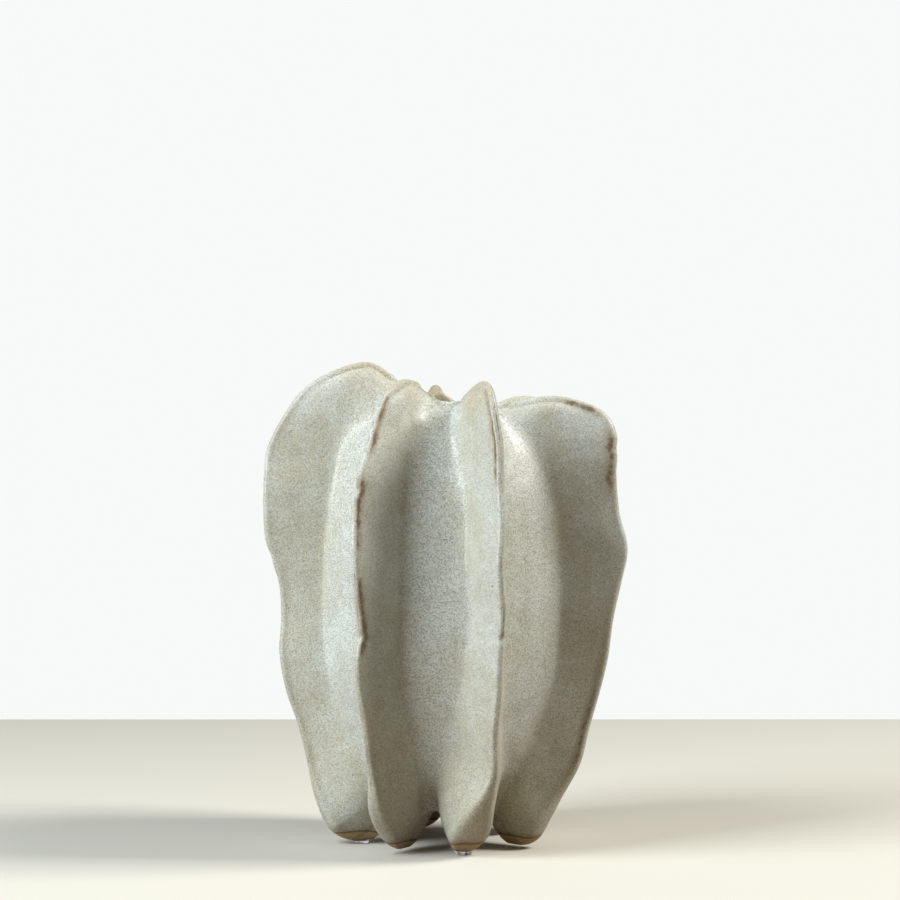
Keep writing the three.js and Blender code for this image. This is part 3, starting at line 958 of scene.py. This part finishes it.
def pattern(tree, place, scale, detail, roughness, low, high):
    """Noise spread out to run from 0 at low to 1 at high."""
    return ramp(tree, noise_value(tree, place, scale, detail, roughness), low, high)


def add_surface(tree, inputs):
    """The surface of a material."""
    shader = add_node(tree, "ShaderNodeBsdfPrincipled", inputs)
    add_node(tree, "ShaderNodeOutputMaterial", {"Surface": shader.outputs["BSDF"]})


def clay_grain():
    """Shader group: iron specks, grain and pits that show in the glaze and in the bare clay."""
    group = bpy.data.node_groups.new("Clay grain", "ShaderNodeTree")
    group.interface.new_socket("Speck amount", in_out="INPUT", socket_type="NodeSocketFloat")
    for name in ("Specks", "Grain", "Pits"):
        group.interface.new_socket(name, in_out="OUTPUT", socket_type="NodeSocketFloat")
    entry = add_node(group, "NodeGroupInput")
    place = add_node(group, "ShaderNodeTexCoord").outputs["Object"]
    specks = None
    for cells_per_metre, size, rarity in SPECKS:
        cells = add_node(group, "ShaderNodeTexVoronoi", {"Vector": place, "Scale": cells_per_metre})
        chance = add_node(group, "ShaderNodeSeparateColor", {"Color": cells.outputs["Color"]})
        chosen = ramp(group, chance.outputs["Red"], rarity, rarity + FAINT_SPECKS)
        dot = fall(group, cells.outputs["Distance"], size * SPECK_CORE, size)
        spot = math_node(group, "MULTIPLY", dot, chosen)
        specks = spot if specks is None else math_node(group, "MAXIMUM", specks, spot)
    specks = math_node(group, "MULTIPLY", specks, entry.outputs["Speck amount"])
    grain = noise_value(group, place, *GRAIN)
    hollows = add_node(group, "ShaderNodeTexVoronoi", {"Vector": place, "Scale": PIT_CELLS})
    rare = add_node(group, "ShaderNodeSeparateColor", {"Color": hollows.outputs["Color"]})
    chosen = ramp(group, rare.outputs["Green"], *PIT_RARITY)
    pits = math_node(group, "MULTIPLY", fall(group, hollows.outputs["Distance"], *PIT_RADII), chosen)
    leave = add_node(group, "NodeGroupOutput")
    for name, value in (("Specks", specks), ("Grain", grain), ("Pits", pits)):
        group.links.new(value, leave.inputs[name])
    return group


def glaze_material(grain_group):
    """Satin grey-white glaze with iron specks, brown breaks on the edges and bare clay at the soles."""
    look = bpy.context.scene.vase_glaze
    material, tree = new_material("speckled satin glaze")
    place = add_node(tree, "ShaderNodeTexCoord").outputs["Object"]
    height = add_node(tree, "ShaderNodeSeparateXYZ", {"Vector": place}).outputs["Z"]
    broken, thin, crest, pooled = (
        add_node(tree, "ShaderNodeAttribute", attribute_name=name).outputs["Fac"]
        for name in ("broken", "thin", "crest", "pooled"))
    amount = weighted_sum(tree, 0.8, (pooled, 0.25))
    grain = add_node(tree, "ShaderNodeGroup", {"Speck amount": amount}, node_tree=grain_group)
    specks, fine, pits = (grain.outputs[name] for name in ("Specks", "Grain", "Pits"))

    cloud = pattern(tree, place, *CLOUD)
    mottle = pattern(tree, place, *MOTTLE)
    runs = add_node(tree, "ShaderNodeMapping", {"Vector": place, "Scale": STREAK_STRETCH}).outputs["Vector"]
    streak = pattern(tree, runs, *STREAK)
    # The colour is drawn darker and warmer towards the bottom
    low = fall(tree, height, *DARKER_LOW_DOWN)
    warmth = weighted_sum(
        tree, 0.15, (cloud, 0.40), (mottle, 0.36), (streak, 0.22), (pooled, -0.35), (low, 0.25))
    colour = mix_colour(tree, warmth, opaque(look.glaze_pale), opaque(look.glaze_warm))

    worn = math_node(tree, "MULTIPLY", pattern(tree, place, *PATCH), math_node(tree, "POWER", thin, 2.0))
    tan = weighted_sum(tree, 0.0, (worn, 0.18), (crest, 0.75))
    colour = mix_colour(tree, tan, colour, opaque(look.clay_colour))
    shade = weighted_sum(tree, 0.62, (fine, 0.9))
    colour = mix_colour(tree, 1.0, colour, shade, "MULTIPLY")
    colour = coat(tree, colour, specks, 1.0, look.speck_colour)
    colour = coat(tree, colour, pits, 0.7, look.break_colour)

    uneven = noise_value(tree, place, *UNEVEN)
    ragged = noise_value(tree, place, *RAGGED)
    core = weighted_sum(tree, -1.6, (broken, 1.0), (uneven, 0.9), (ragged, 1.6))
    colour = coat(tree, colour, ramp(tree, broken, 0.05, 0.8), 0.45, look.stain_colour)
    colour = coat(tree, colour, ramp(tree, core, 0.1, 0.6), 0.85, look.break_colour)

    drift = weighted_sum(tree, LINE_DRIFT, (noise_value(tree, place, *DRIFT), -2 * LINE_DRIFT))
    above = math_node(tree, "SUBTRACT", math_node(tree, "ADD", height, drift), look.glaze_line)
    line = fall(tree, math_node(tree, "ABSOLUTE", above), *LINE_WIDTHS)
    bare = fall(tree, above, -LINE_STEP, LINE_STEP)
    clay = mix_colour(tree, 1.0, opaque(look.clay_colour), shade, "MULTIPLY")
    colour = coat(tree, colour, fall(tree, above, 0.0, LINE_HALO), 0.35, look.break_colour)
    colour = mix_colour(tree, bare, colour, clay)
    colour = coat(tree, colour, line, 0.8, look.break_colour)

    gloss = weighted_sum(tree, 0.30, (mottle, 0.10), (bare, 0.4), (ramp(tree, height, *DULL_RIM), 0.22))
    relief = weighted_sum(tree, 0.0, (mottle, 0.8), (fine, 0.35), (pits, -1.5), (specks, -0.25))
    bump = add_node(tree, "ShaderNodeBump", {"Height": relief, "Strength": 0.35, "Distance": 0.25 * MM})
    add_surface(
        tree, {"Base Color": colour, "Roughness": gloss, "Normal": bump.outputs["Normal"], "IOR": 1.5})
    return material


def clay_material(grain_group):
    """Bare fired clay under the floor."""
    look = bpy.context.scene.vase_glaze
    material, tree = new_material("bare stoneware")
    place = add_node(tree, "ShaderNodeTexCoord").outputs["Object"]
    grain = add_node(tree, "ShaderNodeGroup", {"Speck amount": 0.5}, node_tree=grain_group)
    fine = grain.outputs["Grain"]
    pale = tuple(mix(part, *CLAY_PALING) for part in look.clay_colour)
    colour = mix_colour(tree, pattern(tree, place, *CLAY_CLOUD), opaque(look.clay_colour), opaque(pale))
    shade = weighted_sum(tree, 0.75, (fine, 0.5))
    colour = mix_colour(tree, 1.0, colour, shade, "MULTIPLY")
    colour = coat(tree, colour, grain.outputs["Specks"], 1.0, look.speck_colour)
    bump = add_node(tree, "ShaderNodeBump", {"Height": fine, "Strength": 0.5, "Distance": 0.3 * MM})
    add_surface(tree, {"Base Color": colour, "Roughness": 0.85, "Normal": bump.outputs["Normal"]})
    return material


def bumper_material():
    """Clear soft polyurethane, a little hazy."""
    material, tree = new_material("clear bumper")
    place = add_node(tree, "ShaderNodeTexCoord").outputs["Object"]
    haze = weighted_sum(tree, 0.08, (noise_value(tree, place, *HAZE), 0.12))
    clear = opaque((0.93, 0.95, 0.95))
    add_surface(tree, {"Base Color": clear, "Roughness": haze, "IOR": 1.48, "Transmission Weight": 0.85})
    return material


def finish_of(name, make):
    """The material of that name, made the first time it is asked for."""
    return bpy.data.materials.get(name) or make()


def grain_group():
    return bpy.data.node_groups.get("Clay grain") or clay_grain()


def glaze():
    return finish_of("speckled satin glaze", lambda: glaze_material(grain_group()))


# Stage

def seen_directly(tree, in_reflections):
    """1 for a ray from the camera or through glass, a share for reflections, 0 for light on matt faces."""
    path = add_node(tree, "ShaderNodeLightPath")
    seen = math_node(tree, "ADD", path.outputs["Is Camera Ray"], path.outputs["Is Transmission Ray"])
    return math_node(tree, "MULTIPLY_ADD", path.outputs["Is Glossy Ray"], in_reflections, seen, clamp=True)


def make_floor_plane():
    """A pale table top that throws less light on the vase than it shows."""
    look = bpy.context.scene.vase_stage
    plane = bmesh.new()
    bmesh.ops.create_grid(plane, x_segments=1, y_segments=1, size=0.5)
    for vertex in plane.verts:
        vertex.co = (vertex.co.x * TABLE_WIDTH, (vertex.co.y - 0.5) * TABLE_DEPTH + TABLE_FAR_EDGE, 0)
    table = place_mesh(plane, "table_top")
    material, tree = new_material("pale table")
    seen = seen_directly(tree, 1.0)
    colour = mix_colour(tree, seen, opaque(look.bounce_colour), opaque(look.floor_colour))
    add_surface(tree, {"Base Color": colour, "Roughness": 0.7})
    table.data.materials.append(material)


def make_lights():
    """A broad cool window to the left and a smaller one high to the right."""
    for name, azimuth, distance, height, width, tall, watts, colour in (
        ("left window", -57, 1.3, 0.86, 0.75, 1.4, 30.5, (0.895, 0.975, 1.0)),
        ("right window", 86, 1.2, 1.2, 0.55, 0.6, 27.0, (1.0, 1.0, 0.92)),
    ):
        light = bpy.data.lights.new(name, "AREA")
        light.shape = "RECTANGLE"
        light.size = width
        light.size_y = tall
        light.energy = watts
        light.color = colour
        lamp = bpy.data.objects.new(name, light)
        turn = math.radians(azimuth)
        lamp.location = (distance * math.sin(turn), -distance * math.cos(turn), height)
        aim = LIGHTS_AIM - lamp.location
        lamp.rotation_euler = aim.to_track_quat("-Z", "Y").to_euler()
        bpy.context.collection.objects.link(lamp)


def make_room():
    """A room that lights the vase dimly and warmly, and is seen as a pale backdrop."""
    world = bpy.data.worlds.new("pale room")
    bpy.context.scene.world = world
    world.use_nodes = True
    tree = world.node_tree
    tree.nodes.clear()
    seen = seen_directly(tree, 0.5)
    room = add_node(tree, "ShaderNodeBackground", {"Color": (1.0, 0.9, 0.7, 1.0), "Strength": 0.03})
    backdrop = add_node(tree, "ShaderNodeBackground", {"Color": (0.93, 0.95, 0.94, 1.0), "Strength": 1.0})
    either = add_node(
        tree, "ShaderNodeMixShader",
        {0: seen, 1: room.outputs["Background"], 2: backdrop.outputs["Background"]})
    add_node(tree, "ShaderNodeOutputWorld", {"Surface": either.outputs["Shader"]})


def make_camera():
    """A long lens, about level with the crown."""
    look = bpy.context.scene.vase_stage
    camera = bpy.data.cameras.new("camera")
    camera.lens = look.focal_length
    camera.sensor_width = 36.0
    camera.clip_start = 0.01
    viewer = bpy.data.objects.new("camera", camera)
    viewer.location = (0, -look.camera_distance, look.camera_height)
    viewer.rotation_euler = (math.pi / 2 - look.tilt, 0, -look.turn)
    bpy.context.collection.objects.link(viewer)
    scene = bpy.context.scene
    scene.camera = viewer
    scene.view_settings.view_transform = "Standard"


# Operators

class VASE_OT_wall_slabs(bpy.types.Operator):
    """Make the seven gutter-shaped slabs whose joined edges are the fins"""

    bl_idname = "vase.wall_slabs"
    bl_label = "Wall Slabs"

    def execute(self, context):
        for slab in range(len(FINS)):
            piece = make_slab(slab)
            piece.data.materials.append(glaze())
        return {"FINISHED"}


class VASE_OT_seam_coils(bpy.types.Operator):
    """Make the coils of clay that fill the grooves behind the fins"""

    bl_idname = "vase.seam_coils"
    bl_label = "Seam Coils"

    def execute(self, context):
        for fin in range(len(FINS)):
            piece = make_seam_coil(fin)
            piece.data.materials.append(glaze())
        return {"FINISHED"}


class VASE_OT_floor(bpy.types.Operator):
    """Make the floor slab and the coil that seals it to the wall"""

    bl_idname = "vase.floor"
    bl_label = "Floor"

    def execute(self, context):
        slab = make_floor_slab()
        slab.data.materials.append(finish_of("bare stoneware", lambda: clay_material(grain_group())))
        coil = make_floor_coil()
        coil.data.materials.append(glaze())
        return {"FINISHED"}


class VASE_OT_bumpers(bpy.types.Operator):
    """Make the clear bumpers under four of the feet"""

    bl_idname = "vase.bumpers"
    bl_label = "Bumpers"

    def execute(self, context):
        for node in sorted(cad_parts):
            if node.startswith("bumper_"):
                piece = make_bumper(node)
                piece.data.materials.append(finish_of("clear bumper", bumper_material))
        return {"FINISHED"}


class VASE_OT_stage(bpy.types.Operator):
    """Set the pale floor, the soft lights, the room and the camera"""

    bl_idname = "vase.stage"
    bl_label = "Stage"

    def execute(self, context):
        make_floor_plane()
        make_lights()
        make_room()
        make_camera()
        return {"FINISHED"}


class VASE_PT_panel(bpy.types.Panel):
    """Lists the steps that build the vase"""

    bl_label = "Finned Vase"
    bl_space_type = "VIEW_3D"
    bl_region_type = "UI"
    bl_category = "Vase"

    def draw(self, context):
        for operator in OPERATORS:
            self.layout.operator(operator.bl_idname)
        for group in ("vase_shape", "vase_glaze", "vase_stage"):
            box = self.layout.box()
            settings = getattr(context.scene, group)
            for name in settings.__annotations__:
                box.prop(settings, name)


OPERATORS = (
    VASE_OT_wall_slabs,
    VASE_OT_seam_coils,
    VASE_OT_floor,
    VASE_OT_bumpers,
    VASE_OT_stage,
)
CLASSES = (VaseShape, GlazeLook, StageLook, *OPERATORS, VASE_PT_panel)


def register():
    for cls in CLASSES:
        bpy.utils.register_class(cls)
    bpy.types.Scene.vase_shape = bpy.props.PointerProperty(type=VaseShape)
    bpy.types.Scene.vase_glaze = bpy.props.PointerProperty(type=GlazeLook)
    bpy.types.Scene.vase_stage = bpy.props.PointerProperty(type=StageLook)


def unregister():
    for group in ("vase_shape", "vase_glaze", "vase_stage"):
        delattr(bpy.types.Scene, group)
    for cls in reversed(CLASSES):
        bpy.utils.unregister_class(cls)


def main():
    register()
    bpy.ops.vase.wall_slabs()
    bpy.ops.vase.seam_coils()
    bpy.ops.vase.floor()
    bpy.ops.vase.bumpers()
    bpy.ops.vase.stage()


if __name__ == "__main__":
    main()
